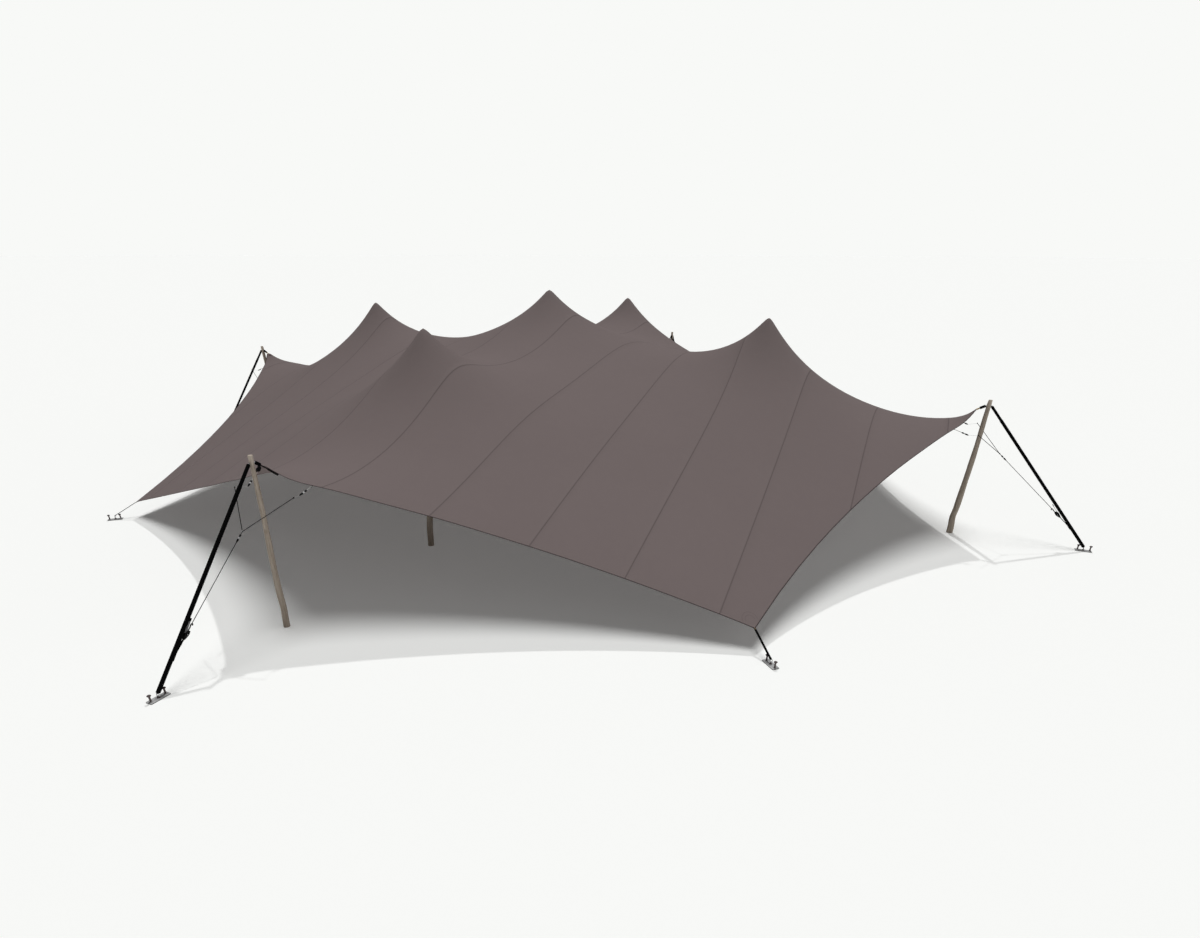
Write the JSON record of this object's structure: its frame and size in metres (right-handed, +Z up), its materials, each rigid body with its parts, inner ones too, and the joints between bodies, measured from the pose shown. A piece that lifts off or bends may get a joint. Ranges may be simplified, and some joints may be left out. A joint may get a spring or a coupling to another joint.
{
  "type": "stretch tent",
  "caption": "Stretch tent with king poles inside, leaning wooden side poles, strapped low corners and ground anchors",
  "frame": {"origin": "on the ground under the middle king pole, the centre of the tent's footprint", "axes": "+X towards the right-hand side pole, -Y towards the front side pole, +Z up"},
  "size_m": [20.9924, 19.6124, 4.15],
  "materials": {
    "canopy_fabric": "matt coated stretch fabric, taupe brown",
    "pole_wood": "peeled natural round timber, grey beige",
    "strap_webbing": "black woven polyester webbing",
    "bridle_cord": "dark thin rope with black and steel end fittings",
    "ratchet_steel": "dark coated ratchet with bright steel parts",
    "anchor_steel": "galvanised steel plate and ring, dark rusty stake heads"
  },
  "bodies": {
    "root": {"canopy_middle": "canopy_fabric", "canopy_right_inner": "canopy_fabric", "canopy_right_outer": "canopy_fabric", "canopy_right_edge": "canopy_fabric", "canopy_left_inner": "canopy_fabric", "canopy_left_outer": "canopy_fabric", "canopy_left_edge": "canopy_fabric", "king_pole_middle": "pole_wood", "king_pole_front": "pole_wood", "king_pole_right": "pole_wood", "king_pole_back": "pole_wood", "king_pole_left": "pole_wood", "side_pole_front": "pole_wood", "side_pole_right": "pole_wood", "side_pole_back": "pole_wood", "side_pole_left": "pole_wood", "side_strap_front": "strap_webbing", "side_strap_right": "strap_webbing", "side_strap_back": "strap_webbing", "side_strap_left": "strap_webbing", "corner_strap_front_right": "strap_webbing", "corner_strap_back_right": "strap_webbing", "corner_strap_back_left": "strap_webbing", "corner_strap_front_left": "strap_webbing", "tip_webbing_front": "strap_webbing", "tip_webbing_right": "strap_webbing", "tip_webbing_back": "strap_webbing", "tip_webbing_left": "strap_webbing", "bridle_front": "bridle_cord", "bridle_right": "bridle_cord", "bridle_back": "bridle_cord", "bridle_left": "bridle_cord", "ratchet_front": "ratchet_steel", "ratchet_right": "ratchet_steel", "ratchet_back": "ratchet_steel", "ratchet_left": "ratchet_steel", "anchor_front": "anchor_steel", "anchor_right": "anchor_steel", "anchor_back": "anchor_steel", "anchor_left": "anchor_steel", "anchor_front_right": "anchor_steel", "anchor_back_right": "anchor_steel", "anchor_back_left": "anchor_steel", "anchor_front_left": "anchor_steel"}
  },
  "joints": []
}
